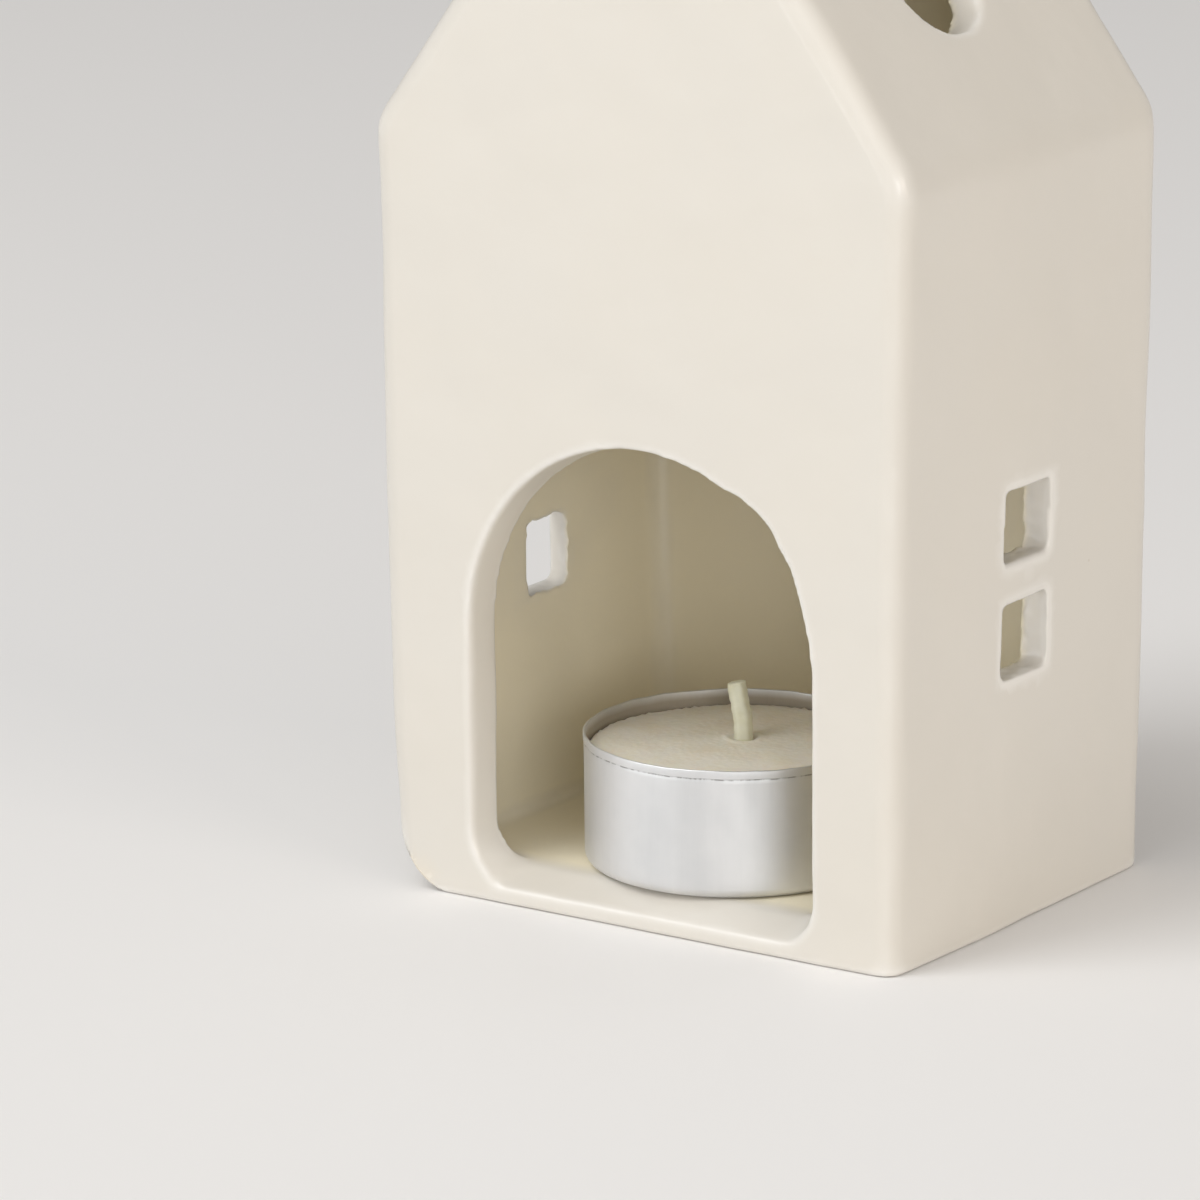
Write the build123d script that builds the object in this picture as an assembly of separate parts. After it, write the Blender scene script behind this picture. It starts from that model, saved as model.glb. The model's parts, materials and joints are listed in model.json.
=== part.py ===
from build123d import *

import os
from math import cos, radians, sin, sqrt, tan

# Tealight house: a glazed house built of rolled clay slabs, with a tealight on its floor.
# Frame: millimetres, +Z up, doorway towards -Y, origin at the middle of the footprint on the table.

# House outline
BASE_WIDTH = 75.0     # over the side walls at the table
EAVE_WIDTH = 78.8     # over the eaves, because the side walls lean out a little
EAVE_HEIGHT = 98.0    # table to the outer corner of wall and roof
DEPTH = 59.0          # front face to rear face
ROOF_PITCH = 53.5     # degrees from level
WALL = 4.3            # thickness of the side wall, rear wall and roof slabs
FRONT_WALL = 5.6      # thickness of the front wall's slab
FLOOR = 4.3           # table to the top of the floor slab
CORNER_ROUND = 2.2    # outer corners, eaves, ridge and roof edges
BASE_ROUND = 1.2      # outer edge at the table
FOOT = 11.0           # side of each corner that the house stands on
FOOT_HEIGHT = 0.5     # how far the underside is raised between those corners

# Doorway in the front wall
DOOR_WIDTH = 49.6
DOOR_TOP = 61.0       # table to the crown of the arch
DOOR_SILL = 3.4       # table to the sill, a little below the floor
DOOR_CORNER = 5.0     # lower corners of the opening
DOOR_ROUND = 1.0      # smoothed front edge of the opening

# Two panes, one above the other, in each side wall
PANE_WIDTH = 10.8     # panes of the right wall
LEFT_PANE_WIDTH = 8.6  # panes of the left wall, cut by eye
PANE_HEIGHT = 10.0
PANE_SILL = 31.9      # table to the lower edge of the lower pane
PANE_BAR = 4.5        # clay left between the panes of the right wall
LEFT_PANE_BAR = 7.1   # the same in the left wall
PANE_CORNER = 0.8
PANE_REAR = 4.8       # rear edge of the panes

# Round vent in each roof slab
VENT_RADIUS = 8.0
VENT_UP = 24.3        # eave to the middle of the vent, along the slope
VENT_Y = -1.6         # middle of the vent

# Tealight
TEALIGHT_IN = 22.0    # front face to the axis of the tealight where it stands
CUP_RADIUS = 18.8     # outside of the cup's wall
CUP_HEIGHT = 16.5
CUP_WALL = 0.3
CUP_FOOT_ROUND = 1.2  # outside corner of the cup's floor
RIM_ROUND = 0.4       # radius of the rolled rim
WAX_DROP = 2.0        # rim to the top of the wax
WAX_EDGE = 0.8        # bevel of the pressed wax, top and bottom
WAX_CLEARANCE = 0.25  # wax to the cup's wall
WICK_X = -1.1         # the wick stands off the cup's axis by this
WICK_Y = 3.3
WICK_RADIUS = 1.05
WICK_SHOWS = 7.0      # wick above the wax
WICK_UPRIGHT = 2.0    # part of that below the bend
WICK_LEAN = 12.0      # degrees from upright above the bend
WICK_BEND = 4.0       # radius of the bend
WICK_HOLE_GAP = 0.35  # wick to the hole in the wax
TAB_RADIUS = 6.25     # sustainer's disc
TAB_THICKNESS = 0.25
NECK_HEIGHT = 4.5     # sustainer's crimped neck, over the cup's floor
NECK_WALL = 0.25
CRIMP_GAP = 0.02      # wick to the neck
TAB_CLEARANCE = 0.2   # sustainer to the hollow in the wax

# Sizes that follow
HALF_DEPTH = DEPTH / 2
TEALIGHT_Y = TEALIGHT_IN - HALF_DEPTH
LEAN = (EAVE_WIDTH - BASE_WIDTH) / 2 / EAVE_HEIGHT
SLOPE = tan(radians(ROOF_PITCH))
RIDGE_HEIGHT = EAVE_HEIGHT + EAVE_WIDTH / 2 * SLOPE
DOOR_SPRING = DOOR_TOP - DOOR_WIDTH / 2
CUP_BORE = CUP_RADIUS - CUP_WALL
WAX_BASE = FLOOR + CUP_WALL
WAX_TOP = FLOOR + CUP_HEIGHT - WAX_DROP
NECK_BORE = WICK_RADIUS + CRIMP_GAP


def right_corners(inset, bottom):
    """Foot, eave and ridge of the right half of the house outline, moved in by inset and cut at bottom."""
    wall_x = BASE_WIDTH / 2 - inset * sqrt(1 + LEAN**2)
    ridge_z = RIDGE_HEIGHT - inset / cos(radians(ROOF_PITCH))
    eave_z = (ridge_z - SLOPE * wall_x) / (1 + SLOPE * LEAN)
    foot = (wall_x + LEAN * bottom, bottom)
    eave = (wall_x + LEAN * eave_z, eave_z)
    return foot, eave, (0, ridge_z)


def mirrored(point):
    """The same point on the other side of the house's middle plane."""
    return (-point[0], point[1])


def prism(corners, front, rear):
    """Solid with the given corners in X and Z, from Y front to Y rear."""
    face = make_face(Polyline(*corners, close=True))
    return Pos(0, rear, 0) * extrude(Plane.XZ * face, rear - front)


def turned(corners):
    """Solid of revolution about Z with the given corners in radius and height."""
    return revolve(Plane.XZ * make_face(Polyline(*corners, close=True)), Axis.Z)


def house_form():
    """Outside of the house as one block, with its corners rounded and its underside raised between the feet."""
    foot, eave, ridge = right_corners(0, 0)
    block = prism([mirrored(foot), foot, eave, ridge, mirrored(eave)], -HALF_DEPTH, HALF_DEPTH)
    base_edges = block.faces().sort_by(Axis.Z)[0].edges()
    block = fillet(block.edges() - base_edges, CORNER_ROUND)
    block = fillet(block.faces().sort_by(Axis.Z)[0].edges(), BASE_ROUND)
    across = Box(BASE_WIDTH + WALL, DEPTH - 2 * FOOT, 2 * FOOT_HEIGHT)
    along = Box(BASE_WIDTH - 2 * FOOT, DEPTH + WALL, 2 * FOOT_HEIGHT)
    return block - across - along


def slab_regions():
    """The space of each slab: gables inside the roof, side walls between the gables, floor inside the walls."""
    below = -WALL
    above = RIDGE_HEIGHT + WALL
    foot, eave_in, ridge_in = right_corners(WALL, below)
    floor_edge = right_corners(WALL, FLOOR)[0]
    eave = right_corners(0, 0)[1]
    mitre = (2 * eave[0] - eave_in[0], 2 * eave[1] - eave_in[1])
    front_y = FRONT_WALL - HALF_DEPTH
    rear_y = HALF_DEPTH - WALL
    gable = [(-mitre[0], below), (mitre[0], below), mitre, eave_in]
    gable += [ridge_in, mirrored(eave_in), mirrored(mitre)]
    side = [foot, (mitre[0], below), mitre, eave_in]
    roof = [ridge_in, eave_in, mitre, (mitre[0], above), (0, above)]
    floor = [mirrored(foot), foot, floor_edge, mirrored(floor_edge)]
    return {
        "front_gable_wall": prism(gable, -DEPTH, front_y),
        "rear_gable_wall": prism(gable, rear_y, DEPTH),
        "right_wall": prism(side, front_y, rear_y),
        "right_roof": prism(roof, -DEPTH, DEPTH),
        "floor_slab": prism(floor, front_y, rear_y),
    }


def doorway():
    """Block that cuts the arched doorway down to its sill."""
    half = DOOR_WIDTH / 2
    jambs = Polyline((-half, DOOR_SPRING), (-half, DOOR_SILL), (half, DOOR_SILL), (half, DOOR_SPRING))
    arch = ThreePointArc((half, DOOR_SPRING), (0, DOOR_TOP), (-half, DOOR_SPRING))
    opening = make_face([jambs, arch])
    opening = fillet(opening.vertices().sort_by(Axis.Y)[:2], DOOR_CORNER)
    return extrude(Plane.XZ * opening, DEPTH)


def panes(width, bar):
    """Block that cuts two panes, with a bar of clay between them, through the right side wall."""
    pane = RectangleRounded(width, PANE_HEIGHT, PANE_CORNER)
    middle = PANE_REAR - width / 2
    lower = PANE_SILL + PANE_HEIGHT / 2
    upper = lower + PANE_HEIGHT + bar
    outlines = Plane.YZ * (Pos(middle, lower) * pane + Pos(middle, upper) * pane)
    return extrude(outlines, EAVE_WIDTH)


def vent():
    """Block that cuts the round vent square through the right roof slab."""
    eave_x, eave_z = right_corners(0, 0)[1]
    pitch = radians(ROOF_PITCH)
    middle = Pos(eave_x - VENT_UP * cos(pitch), VENT_Y, eave_z + VENT_UP * sin(pitch))
    return middle * Rot(0, ROOF_PITCH, 0) * Cylinder(VENT_RADIUS, 4 * WALL)


def make_house():
    """The seven clay slabs, by name."""
    form = house_form()
    slabs = {name: form & region for name, region in slab_regions().items()}
    front = slabs["front_gable_wall"] - doorway()
    door_edges = front.faces().sort_by(Axis.Y)[0].inner_wires()[0].edges()
    slabs["front_gable_wall"] = fillet(door_edges, DOOR_ROUND)
    slabs["left_wall"] = mirror(slabs["right_wall"] - panes(LEFT_PANE_WIDTH, LEFT_PANE_BAR), Plane.YZ)
    slabs["right_wall"] -= panes(PANE_WIDTH, PANE_BAR)
    slabs["right_roof"] -= vent()
    slabs["left_roof"] = mirror(slabs["right_roof"], Plane.YZ)
    return slabs


def make_cup():
    """Drawn cup with a rounded foot and a rolled rim."""
    rim_x = CUP_BORE + RIM_ROUND
    rim_z = CUP_HEIGHT - RIM_ROUND
    under_rim = rim_z - sqrt(RIM_ROUND**2 - (RIM_ROUND - CUP_WALL) ** 2)
    inner_round = CUP_FOOT_ROUND - CUP_WALL
    foot_x = CUP_RADIUS - CUP_FOOT_ROUND
    diagonal = sqrt(0.5)
    section = [
        Polyline((0, CUP_WALL), (0, 0), (foot_x, 0)),
        ThreePointArc(
            (foot_x, 0),
            (foot_x + CUP_FOOT_ROUND * diagonal, CUP_FOOT_ROUND * (1 - diagonal)),
            (CUP_RADIUS, CUP_FOOT_ROUND),
        ),
        Line((CUP_RADIUS, CUP_FOOT_ROUND), (CUP_RADIUS, under_rim)),
        ThreePointArc((CUP_RADIUS, under_rim), (rim_x + RIM_ROUND, rim_z), (rim_x, CUP_HEIGHT)),
        ThreePointArc(
            (rim_x, CUP_HEIGHT),
            (rim_x - RIM_ROUND * diagonal, rim_z + RIM_ROUND * diagonal),
            (CUP_BORE, rim_z),
        ),
        Line((CUP_BORE, rim_z), (CUP_BORE, CUP_FOOT_ROUND)),
        ThreePointArc(
            (CUP_BORE, CUP_FOOT_ROUND),
            (foot_x + inner_round * diagonal, CUP_FOOT_ROUND - inner_round * diagonal),
            (foot_x, CUP_WALL),
        ),
        Line((foot_x, CUP_WALL), (0, CUP_WALL)),
    ]
    return revolve(Plane.XZ * make_face(section), Axis.Z)


def make_wax():
    """Pressed cake of wax with bevelled edges, a wick hole and a hollow for the sustainer."""
    radius = CUP_BORE - WAX_CLEARANCE
    height = WAX_TOP - WAX_BASE
    hole = WICK_RADIUS + WICK_HOLE_GAP
    tab_hollow = TAB_RADIUS + TAB_CLEARANCE
    tab_roof = TAB_THICKNESS + TAB_CLEARANCE
    neck_hollow = NECK_BORE + NECK_WALL + TAB_CLEARANCE
    neck_roof = NECK_HEIGHT + TAB_CLEARANCE
    cake = turned([
        (0, 0),
        (radius - CUP_FOOT_ROUND, 0),
        (radius, CUP_FOOT_ROUND),
        (radius, height - WAX_EDGE),
        (radius - WAX_EDGE, height),
        (0, height),
    ])
    hollow = turned([
        (0, 0),
        (tab_hollow, 0),
        (tab_hollow, tab_roof),
        (neck_hollow, tab_roof),
        (neck_hollow, neck_roof),
        (hole, neck_roof),
        (hole, height),
        (0, height),
    ])
    return cake - Pos(WICK_X, WICK_Y) * hollow


def make_wick():
    """Round wick, upright in the wax and leaning towards -X above its bend."""
    upright = WAX_TOP - WAX_BASE + WICK_UPRIGHT
    lean = radians(WICK_LEAN)
    leaning = WICK_SHOWS - WICK_UPRIGHT
    tip = (-leaning * sin(lean), 0, upright + leaning * cos(lean))
    path = FilletPolyline((0, 0, 0), (0, 0, upright), tip, radius=WICK_BEND)
    return sweep(Circle(WICK_RADIUS), path)


def make_sustainer():
    """Stamped disc with a neck that is crimped on the wick's foot."""
    neck = NECK_BORE + NECK_WALL
    return turned([
        (NECK_BORE, 0),
        (TAB_RADIUS, 0),
        (TAB_RADIUS, TAB_THICKNESS),
        (neck, TAB_THICKNESS),
        (neck, NECK_HEIGHT),
        (NECK_BORE, NECK_HEIGHT),
    ])


def make_tealight():
    """The tealight's four pieces, by name, where they stand on the floor of the house."""
    stand = Pos(0, TEALIGHT_Y, FLOOR)
    inside = Pos(0, TEALIGHT_Y, WAX_BASE)
    wick_foot = inside * Pos(WICK_X, WICK_Y)
    return {
        "tealight_cup": stand * make_cup(),
        "wax_cake": inside * make_wax(),
        "wick": wick_foot * make_wick(),
        "wick_sustainer": wick_foot * make_sustainer(),
    }


pieces = make_house() | make_tealight()
os.makedirs("parts", exist_ok=True)
for name, solid in pieces.items():
    export_step(solid, f"parts/{name}.step")
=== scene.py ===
import json
import logging
import math
from contextlib import contextmanager
from dataclasses import dataclass
from enum import Enum
from typing import Any, Callable, Iterator, Optional

import bmesh
import bpy
import numpy as np
from mathutils import Matrix, Vector, noise


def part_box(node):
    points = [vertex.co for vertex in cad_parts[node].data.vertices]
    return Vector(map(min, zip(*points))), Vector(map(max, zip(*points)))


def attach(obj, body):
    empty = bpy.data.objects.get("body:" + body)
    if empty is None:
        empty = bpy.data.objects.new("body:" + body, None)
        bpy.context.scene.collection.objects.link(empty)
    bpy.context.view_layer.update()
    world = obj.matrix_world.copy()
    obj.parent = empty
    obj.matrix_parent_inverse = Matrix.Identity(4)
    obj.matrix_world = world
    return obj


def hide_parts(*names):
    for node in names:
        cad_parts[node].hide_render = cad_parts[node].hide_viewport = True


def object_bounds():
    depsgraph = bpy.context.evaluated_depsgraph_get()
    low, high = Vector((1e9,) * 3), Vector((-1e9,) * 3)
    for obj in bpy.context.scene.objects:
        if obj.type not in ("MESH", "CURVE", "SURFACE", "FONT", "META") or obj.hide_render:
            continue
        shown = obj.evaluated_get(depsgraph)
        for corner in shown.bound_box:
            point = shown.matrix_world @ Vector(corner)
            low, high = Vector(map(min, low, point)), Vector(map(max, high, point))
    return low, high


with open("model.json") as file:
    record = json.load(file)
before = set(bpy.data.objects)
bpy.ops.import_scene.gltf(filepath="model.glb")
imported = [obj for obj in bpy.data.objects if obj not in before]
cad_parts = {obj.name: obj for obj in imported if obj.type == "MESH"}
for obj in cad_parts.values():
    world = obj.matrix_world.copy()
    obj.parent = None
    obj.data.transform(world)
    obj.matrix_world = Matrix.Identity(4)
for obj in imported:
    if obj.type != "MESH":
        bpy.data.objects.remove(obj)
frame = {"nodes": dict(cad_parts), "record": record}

log = logging.getLogger("tealight_house")
CAD_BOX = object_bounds()
MM = 0.001
SEED = 7
HAIR = 0.01
MOST_NOISE = (0.3, 0.7)
IMAGE_SIDE = 1200
Point = tuple[float, float, float]
Colour = tuple[float, float, float]
Span = tuple[float, float]
Profile = list[tuple[float, float]]


def metres(*sizes: float) -> tuple[float, ...]:
    """Sizes in metres, from millimetres."""
    return tuple(size * MM for size in sizes)


class Side(Enum):
    """The two sides of the house, as the sign of X."""

    LEFT = -1
    RIGHT = 1


class Slot(Enum):
    """Material slots of the record."""

    GLAZE = "glaze"
    CUP = "cup_aluminium"
    WAX = "wax"
    WICK = "wick_cotton"


class Body(Enum):
    """Rigid bodies of the frame."""

    HOUSE = "house"
    TEALIGHT = "tealight"
    CANDLE = "candle"


class Value:
    """A shader socket that takes part in Python expressions."""

    def __init__(self, shader: "Shader", socket: bpy.types.NodeSocket) -> None:
        """Wrap an output socket of one of the shader's nodes."""
        self.shader = shader
        self.socket = socket

    def calc(self, operation: str, first: Any, second: Any) -> "Value":
        """Add a Math node and return its result."""
        return self.shader.node("ShaderNodeMath", {"operation": operation}, {0: first, 1: second})

    def __add__(self, other: Any) -> "Value":
        """Sum with a number or another value."""
        return self.calc("ADD", self, other)

    def __sub__(self, other: Any) -> "Value":
        """Difference from a number or another value."""
        return self.calc("SUBTRACT", self, other)

    def __rsub__(self, other: Any) -> "Value":
        """A number less this value."""
        return self.calc("SUBTRACT", other, self)

    def __mul__(self, other: Any) -> "Value":
        """Product with a number or another value."""
        return self.calc("MULTIPLY", self, other)

    __radd__ = __add__
    __rmul__ = __mul__


class Shader:
    """A node material with one Principled surface."""

    def __init__(self, name: str) -> None:
        """Make an empty material with its surface and output.

        Args:
            name: The material's name.
        """
        self.material = bpy.data.materials.new(name)
        self.material.use_nodes = True
        self.tree = self.material.node_tree
        self.tree.nodes.clear()
        self.surface = self.tree.nodes.new("ShaderNodeBsdfPrincipled")
        output = self.tree.nodes.new("ShaderNodeOutputMaterial")
        self.tree.links.new(self.surface.outputs[0], output.inputs[0])

    def node(
        self,
        kind: str,
        settings: Optional[dict[str, Any]] = None,
        sockets: Optional[dict[Any, Any]] = None,
        output: Any = 0,
    ) -> Value:
        """Add a node, set it up and fill its sockets.

        Args:
            kind: The node's type.
            settings: Node properties by name.
            sockets: Numbers, colours or values by input name or index.
            output: Name or index of the output to return.

        Returns:
            The chosen output.
        """
        made = self.tree.nodes.new(kind)
        for name, setting in (settings or {}).items():
            setattr(made, name, setting)
        for key, given in (sockets or {}).items():
            self._fill(made.inputs[key], given)
        return Value(self, made.outputs[output])

    def _fill(self, socket: bpy.types.NodeSocket, given: Any) -> None:
        """Link a value to a socket, or set the socket's own number or colour.

        Args:
            socket: The input to fill.
            given: A value, a number, a colour or a vector.
        """
        if isinstance(given, Value):
            self.tree.links.new(given.socket, socket)
        elif isinstance(given, tuple) and socket.type == "RGBA":
            socket.default_value = (*given, 1.0)
        else:
            socket.default_value = given

    def set(self, **sockets: Any) -> None:
        """Fill sockets of the surface; spaces in their names are underscores here."""
        for name, given in sockets.items():
            self._fill(self.surface.inputs[name.replace("_", " ")], given)

    def attribute(self, name: str) -> Value:
        """A number stored for each point of the mesh."""
        return self.node("ShaderNodeAttribute", {"attribute_name": name}, output="Fac")

    def place(self) -> Value:
        """Object coordinates, in metres."""
        return self.node("ShaderNodeTexCoord", output="Object")

    def noise(self, where: Value, per_metre: float, detail: float = 2.0, rough: float = 0.5) -> Value:
        """Soft noise from 0 to 1, by its lumps per metre, its octaves and the finer octaves' weight."""
        sockets = {"Vector": where, "Scale": per_metre, "Detail": detail, "Roughness": rough}
        return self.node("ShaderNodeTexNoise", None, sockets)

    def fit(
        self, value: Value, low: float, high: float, to_low: float = 0.0, to_high: float = 1.0
    ) -> Value:
        """Stretch a range of a value on to another range, clamped."""
        sockets = {0: value, 1: low, 2: high, 3: to_low, 4: to_high}
        return self.node("ShaderNodeMapRange", {"clamp": True}, sockets)

    def blend(self, share: Any, first: Any, second: Any) -> Value:
        """Mix two colours by the share of the second."""
        return self.node("ShaderNodeMix", {"data_type": "RGBA"}, {0: share, 6: first, 7: second}, output=2)

    def bump(self, height: Value, depth: float, strength: float) -> None:
        """Feed the surface's normal from a height, with depth in metres."""
        sockets = {"Height": height, "Distance": depth, "Strength": strength}
        self.set(Normal=self.node("ShaderNodeBump", None, sockets))


@dataclass(frozen=True)
class GlazeFinish:
    """Glossy cream glaze on fired clay: paler on the edges, where it is thinner and a highlight is
    painted, darker in the corners, where it pools and shade is painted.
    """

    cream: Colour = (0.694, 0.661, 0.604)
    thin_glaze_and_highlight: Colour = (0.800, 0.775, 0.728)
    pooled_and_shaded: Colour = (0.700, 0.648, 0.560)
    painted_chamber_light: Colour = (0.950, 0.875, 0.685)
    speck: Colour = (0.42, 0.34, 0.24)
    gloss: Span = (0.29, 0.39)
    coat: float = 0.35
    coat_roughness: float = 0.12
    clouds_per_metre: float = 38.0
    cloud_range: Span = (0.15, 0.85)
    cloud_share: float = 0.45
    corner_range: Span = (-0.06, -0.45)
    corner_share: float = 0.85
    edge_range: Span = (0.08, 0.45)
    edge_share: float = 0.80
    grains_per_metre: float = 210.0
    speck_range: Span = (0.055, 0.02)
    speck_share: float = 0.5
    groups_per_metre: float = 95.0
    group_range: Span = (0.66, 0.72)
    ripples_per_metre: float = 160.0
    ripple_depth: float = 0.30
    peel_per_metre: float = 900.0
    peel_share: float = 0.12

    def material(self) -> bpy.types.Material:
        """Build the glaze.

        Returns:
            The material.
        """
        shader = Shader("cream_glaze")
        place = shader.place()
        clouds = shader.noise(place, self.clouds_per_metre, 3.0)
        edge = shader.attribute("edge")
        cloud = shader.fit(clouds, *self.cloud_range, 0.0, self.cloud_share)
        colour = shader.blend(cloud, self.cream, self.pooled_and_shaded)
        inside = shader.attribute("inside")
        # Painted light: the chamber's skin takes a lighter, yellower colour than the glaze outside, to
        # brighten its shade.
        colour = shader.blend(inside, colour, self.painted_chamber_light)
        # Darker in the corners: partly glaze that pools there, partly painted shade.
        pool_and_shade = shader.fit(edge, *self.corner_range, 0.0, self.corner_share)
        colour = shader.blend(pool_and_shade, colour, self.pooled_and_shaded)
        # Paler on the edges and round the panes: partly glaze that runs thinner there, partly a painted
        # highlight.
        thinned_and_highlit = shader.fit(edge, *self.edge_range, 0.0, self.edge_share) * (1.0 - inside)
        colour = shader.blend(thinned_and_highlit, colour, self.thin_glaze_and_highlight)
        spots = {"Vector": place, "Scale": self.grains_per_metre}
        grains = shader.node("ShaderNodeTexVoronoi", None, spots, "Distance")
        chosen = shader.fit(shader.noise(place, self.groups_per_metre, 1.0), *self.group_range)
        specks = shader.fit(grains, *self.speck_range, 0.0, self.speck_share) * chosen
        colour = shader.blend(specks, colour, self.speck)
        ripple = shader.noise(place, self.ripples_per_metre, 2.0)
        peel = shader.noise(place, self.peel_per_metre, 1.0)
        shader.bump(ripple + peel * self.peel_share, self.ripple_depth * MM, 0.35)
        shader.set(
            Base_Color=colour,
            Roughness=shader.fit(clouds, *self.cloud_range, *self.gloss),
            Specular_IOR_Level=0.5,
            Coat_Weight=self.coat,
            Coat_Roughness=self.coat_roughness,
        )
        return shader.material


@dataclass(frozen=True)
class AluminiumFinish:
    """Bright drawn aluminium with fine upright marks."""

    tone: Colour = (0.80, 0.803, 0.81)
    shade: Colour = (0.66, 0.67, 0.68)
    waxed_and_shaded: Colour = (0.42, 0.36, 0.27)
    crease_shade: Colour = (0.16, 0.15, 0.14)
    axis_y: float = 0.0
    radius: float = 18.8
    mark_stretch: float = 0.06
    mark_depth: float = 0.02
    marks_per_metre: float = 1500.0
    bands_per_metre: float = 160.0
    smears_per_metre: float = 120.0
    dashes_per_metre: float = 900.0
    worn_range: Span = (0.38, 0.66)
    worn_share: float = 0.7
    dash_range: Span = (0.44, 0.56)
    dash_share: Span = (0.10, 0.9)
    waxed_and_shaded_share: float = 0.8
    waxed_dulling: float = 0.35
    waxed_roughness: float = 0.1
    roughness: Span = (0.46, 0.60)

    def material(self) -> bpy.types.Material:
        """Build the metal.

        Returns:
            The material.
        """
        shader = Shader("drawn_aluminium")
        shift = {"Vector": shader.place(), "Location": (0.0, -self.axis_y, 0.0)}
        place = shader.node("ShaderNodeMapping", None, shift)
        parts = shader.node("ShaderNodeSeparateXYZ", None, {0: place}, "X")
        split = parts.socket.node
        angle = parts.calc("ARCTAN2", Value(shader, split.outputs["Y"]), parts)
        height = Value(shader, split.outputs["Z"])
        unrolled = {"X": angle * self.radius * MM, "Y": height * self.mark_stretch, "Z": 0.0}
        round_wall = shader.node("ShaderNodeCombineXYZ", None, unrolled)
        marks = shader.noise(round_wall, self.marks_per_metre, 3.0, 0.6)
        bands = shader.noise(round_wall, self.bands_per_metre, 2.0)
        smear = shader.noise(place, self.smears_per_metre, 3.0)
        inside = shader.attribute("inside")
        crease = shader.attribute("crease")
        worn = shader.fit(bands * 0.5 + smear * 0.5, *self.worn_range, 0.0, self.worn_share)
        colour = shader.blend(worn, self.tone, self.shade)
        # The inner wall is painted dark brown as shade; the duller metal below stands for its film of wax.
        colour = shader.blend(inside * self.waxed_and_shaded_share, colour, self.waxed_and_shaded)
        streaks = shader.noise(round_wall, self.dashes_per_metre, 3.0)
        dashes = shader.fit(streaks, *self.dash_range, *self.dash_share)
        # Painted shade: dark broken dashes in the crease under the rim.
        colour = shader.blend(crease * dashes, colour, self.crease_shade)
        dull = shader.fit(marks * 0.5 + smear * 0.5, *MOST_NOISE, *self.roughness)
        shader.bump(marks, self.mark_depth * MM, 0.5)
        shader.set(
            Base_Color=colour,
            Metallic=1.0 - inside * self.waxed_dulling,
            Roughness=dull + inside * self.waxed_roughness,
        )
        return shader.material


@dataclass(frozen=True)
class WaxFinish:
    """Pressed wax with a granular skin."""

    cream: Colour = (0.95, 0.90, 0.80)
    crumb: Colour = (0.90, 0.81, 0.64)
    clouds_per_metre: float = 220.0
    grains_per_metre: float = 1500.0
    grain_depth: float = 0.12
    crumb_range: Span = (0.42, 0.68)
    crumb_share: float = 0.7
    glow: float = 0.25
    glow_radius: Point = (0.9, 0.6, 0.35)
    glow_depth: float = 2.0
    roughness: Span = (0.42, 0.6)

    def material(self) -> bpy.types.Material:
        """Build the wax.

        Returns:
            The material.
        """
        shader = Shader("pressed_wax")
        place = shader.place()
        cloud = shader.noise(place, self.clouds_per_metre, 4.0)
        grain = shader.noise(place, self.grains_per_metre, 3.0, 0.6)
        share = shader.fit(cloud * 0.6 + grain * 0.4, *self.crumb_range, 0.0, self.crumb_share)
        shader.bump(grain + cloud * 0.6, self.grain_depth * MM, 0.45)
        shader.set(
            Base_Color=shader.blend(share, self.cream, self.crumb),
            Roughness=shader.fit(grain, *MOST_NOISE, *self.roughness),
            Subsurface_Weight=self.glow,
            Subsurface_Radius=self.glow_radius,
            Subsurface_Scale=self.glow_depth * MM,
        )
        return shader.material


@dataclass(frozen=True)
class CottonFinish:
    """Braided cotton soaked in wax."""

    pale: Colour = (0.82, 0.81, 0.65)
    deep: Colour = (0.70, 0.68, 0.50)
    fibres_per_metre: float = 2600.0
    stains_per_metre: float = 420.0
    fibre_depth: float = 0.06
    stain_range: Span = (0.35, 0.7)
    stain_share: float = 0.6
    glow: float = 0.2
    glow_radius: Point = (0.8, 0.8, 0.5)
    glow_depth: float = 0.8
    roughness: Span = (0.38, 0.6)

    def material(self) -> bpy.types.Material:
        """Build the waxed cotton.

        Returns:
            The material.
        """
        shader = Shader("waxed_cotton")
        place = shader.place()
        fibre = shader.noise(place, self.fibres_per_metre, 2.0)
        soak = shader.noise(place, self.stains_per_metre, 2.0)
        stain = shader.fit(soak, *self.stain_range, 0.0, self.stain_share)
        shader.bump(fibre, self.fibre_depth * MM, 0.5)
        shader.set(
            Base_Color=shader.blend(stain, self.pale, self.deep),
            Roughness=shader.fit(fibre, *MOST_NOISE, *self.roughness),
            Subsurface_Weight=self.glow,
            Subsurface_Radius=self.glow_radius,
            Subsurface_Scale=self.glow_depth * MM,
        )
        return shader.material


@dataclass(frozen=True)
class TinnedFinish:
    """Tinned steel of the wick's tab."""

    tone: Colour = (0.62, 0.62, 0.61)
    smears_per_metre: float = 500.0
    roughness: Span = (0.30, 0.45)

    def material(self) -> bpy.types.Material:
        """Build the metal.

        Returns:
            The material.
        """
        shader = Shader("tinned_steel")
        smear = shader.noise(shader.place(), self.smears_per_metre, 3.0)
        dull = shader.fit(smear, *MOST_NOISE, *self.roughness)
        shader.set(Base_Color=self.tone, Metallic=1.0, Roughness=dull)
        return shader.material


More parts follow.
